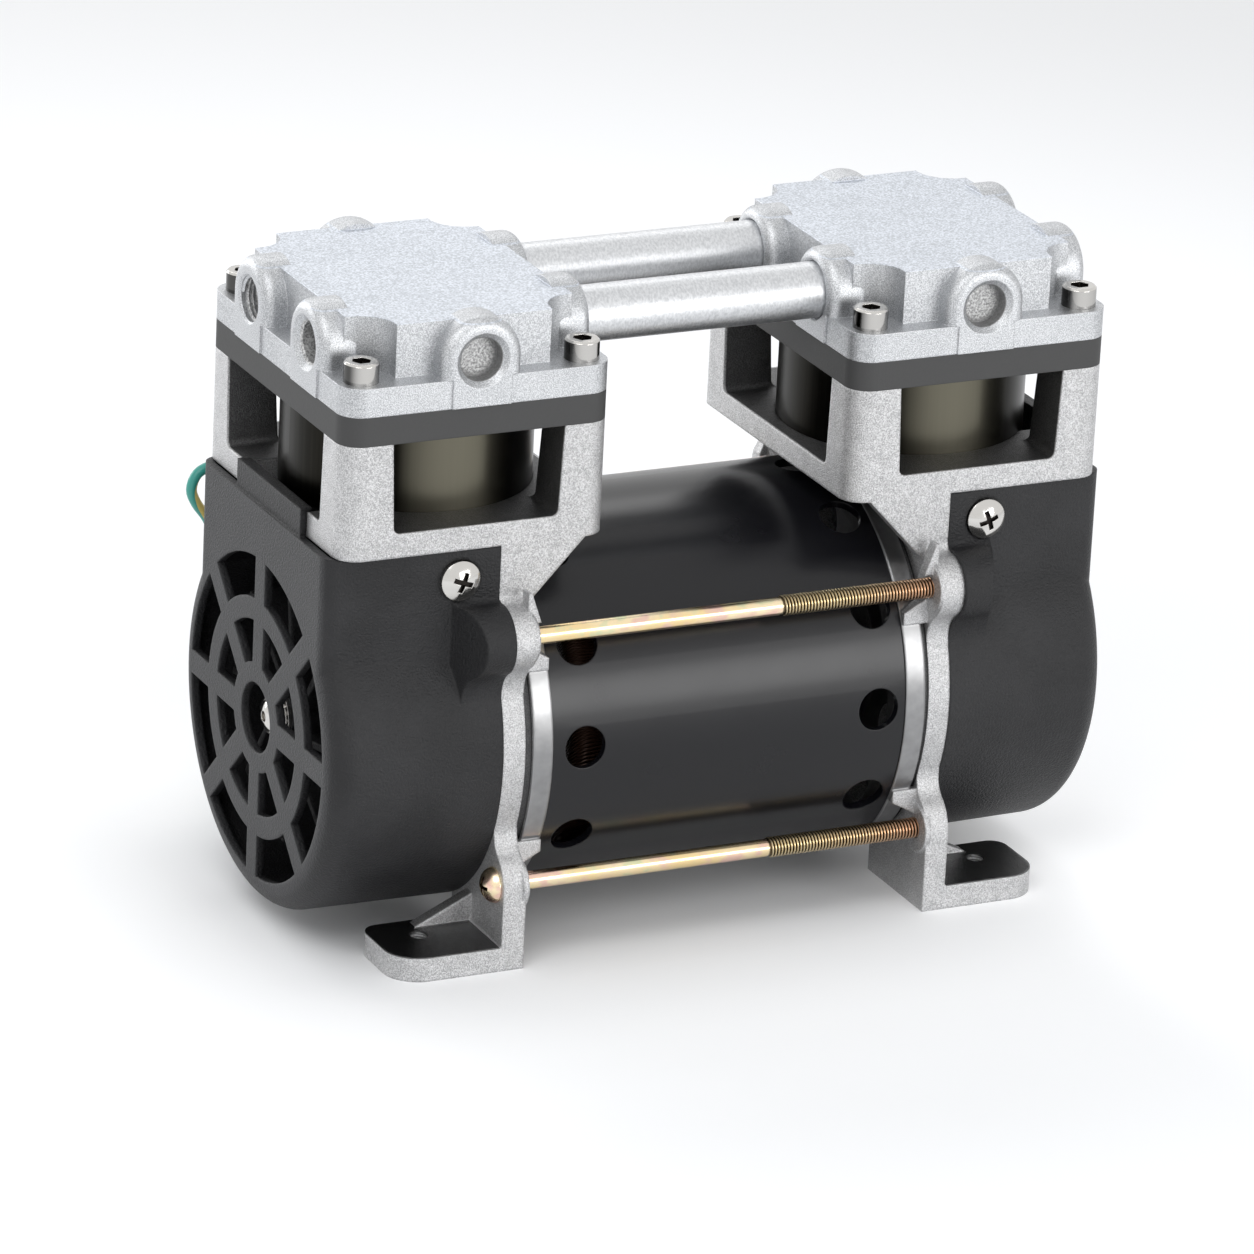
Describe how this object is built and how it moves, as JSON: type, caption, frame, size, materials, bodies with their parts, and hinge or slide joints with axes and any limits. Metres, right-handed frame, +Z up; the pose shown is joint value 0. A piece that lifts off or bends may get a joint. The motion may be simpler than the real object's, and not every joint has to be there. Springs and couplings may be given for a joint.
{
  "type": "twin-cylinder rocking-piston vacuum pump",
  "caption": "Compact oil-free vacuum pump: central motor, an upright cylinder with ported head at each end, crossover tubes and fan covers.",
  "frame": {"origin": "on the floor plane under the feet, midway between the two cylinders and the front and back feet", "axes": "+X along the motor shaft towards the right-hand cylinder, +Y towards the back, +Z up"},
  "size_m": [0.244, 0.1804, 0.1916],
  "materials": {
    "blasted_aluminium": "fine bead-blasted, satin",
    "cast_aluminium": "as-cast aluminium, grainy",
    "turned_aluminium": "turned, satin",
    "black_shell": "semi-gloss black paint",
    "core_steel": "stacked laminations",
    "copper_winding": "varnished copper wire",
    "gold_zinc": "yellow zinc plate",
    "nickel": "bright nickel plate",
    "bearing_steel": "ground and polished",
    "steel": "machined steel",
    "black_plastic": "fine satin texture",
    "anodised": "dark anodised, satin",
    "dark_plate": "dark matt anodised",
    "spring_steel": "polished spring steel",
    "black_rubber": "matt",
    "gasket": "matt",
    "cup_composite": "filled PTFE",
    "cable_green": "green and yellow PVC",
    "tinned": "tinned copper"
  },
  "bodies": {
    "pump_body": {"motor_shell": "black_shell", "stator_core": "core_steel", "stator_windings": "copper_winding", "left_end_casting": "cast_aluminium", "right_end_casting": "cast_aluminium", "through_bolts": "gold_zinc", "main_bearing_outer_rings": "bearing_steel", "left_fan_cover": "black_plastic", "right_fan_cover": "black_plastic", "cover_screws": "nickel", "left_cylinder_sleeve": "anodised", "right_cylinder_sleeve": "anodised", "cylinder_seals": "black_rubber", "left_valve_plate": "dark_plate", "right_valve_plate": "dark_plate", "head_gaskets": "gasket", "reed_clamps": "steel", "reed_rivets": "steel", "left_cylinder_head": "blasted_aluminium", "right_cylinder_head": "blasted_aluminium", "cap_screws": "nickel", "front_transfer_tube": "turned_aluminium", "rear_transfer_tube": "turned_aluminium", "tube_seals": "black_rubber", "lead_grommet": "black_rubber", "earth_lead": "cable_green", "earth_lead_coil": "cable_green", "earth_lead_tail": "cable_green", "earth_terminal": "tinned"},
    "drive_shaft": {"motor_shaft": "steel", "rotor_core": "core_steel", "rotor_end_rings": "turned_aluminium", "main_bearing_inner_rings": "bearing_steel", "main_bearing_balls": "bearing_steel", "left_eccentric": "steel", "right_eccentric": "steel", "clamp_screws": "steel", "rod_bearing_inner_rings": "bearing_steel", "rod_bearing_balls": "bearing_steel", "left_fan": "black_plastic", "right_fan": "black_plastic", "fan_screws": "nickel"},
    "left_rod": {"left_connecting_rod": "cast_aluminium", "left_rod_bearing_ring": "bearing_steel", "left_piston_cup": "cup_composite", "left_cup_retainer": "turned_aluminium", "left_cup_screw": "nickel"},
    "right_rod": {"right_connecting_rod": "cast_aluminium", "right_rod_bearing_ring": "bearing_steel", "right_piston_cup": "cup_composite", "right_cup_retainer": "turned_aluminium", "right_cup_screw": "nickel"},
    "left_suction_reed_flap": {"left_suction_reed": "spring_steel"},
    "left_discharge_reed_flap": {"left_discharge_reed": "spring_steel"},
    "right_suction_reed_flap": {"right_suction_reed": "spring_steel"},
    "right_discharge_reed_flap": {"right_discharge_reed": "spring_steel"}
  },
  "joints": [
    {"name": "shaft_spin", "type": "hinge", "parent": "pump_body", "child": "drive_shaft", "pos_m": [0, 0, 0.061], "axis": [1, 0, 0], "continuous": true},
    {"name": "left_crank_pin", "type": "hinge", "parent": "drive_shaft", "child": "left_rod", "pos_m": [-0.0785, 0, 0.065], "axis": [1, 0, 0], "continuous": true},
    {"name": "right_crank_pin", "type": "hinge", "parent": "drive_shaft", "child": "right_rod", "pos_m": [0.0785, 0, 0.057], "axis": [1, 0, 0], "continuous": true},
    {"name": "left_suction_reed_bend", "type": "hinge", "parent": "pump_body", "child": "left_suction_reed_flap", "pos_m": [-0.0665, 0.017, 0.1571], "axis": [0, -1, 0], "range_deg": [0, 4], "stiffness_Nm_per_rad": 0.03},
    {"name": "left_discharge_reed_bend", "type": "hinge", "parent": "pump_body", "child": "left_discharge_reed_flap", "pos_m": [-0.0665, -0.017, 0.1654], "axis": [0, 1, 0], "range_deg": [0, 4], "stiffness_Nm_per_rad": 0.03},
    {"name": "right_suction_reed_bend", "type": "hinge", "parent": "pump_body", "child": "right_suction_reed_flap", "pos_m": [0.0665, 0.017, 0.1571], "axis": [0, 1, 0], "range_deg": [0, 4], "stiffness_Nm_per_rad": 0.03},
    {"name": "right_discharge_reed_bend", "type": "hinge", "parent": "pump_body", "child": "right_discharge_reed_flap", "pos_m": [0.0665, -0.017, 0.1654], "axis": [0, -1, 0], "range_deg": [0, 4], "stiffness_Nm_per_rad": 0.03}
  ],
  "couplings": [
    {"joint": "left_crank_pin", "follows": "shaft_spin", "ratio": -1},
    {"joint": "right_crank_pin", "follows": "shaft_spin", "ratio": -1}
  ]
}
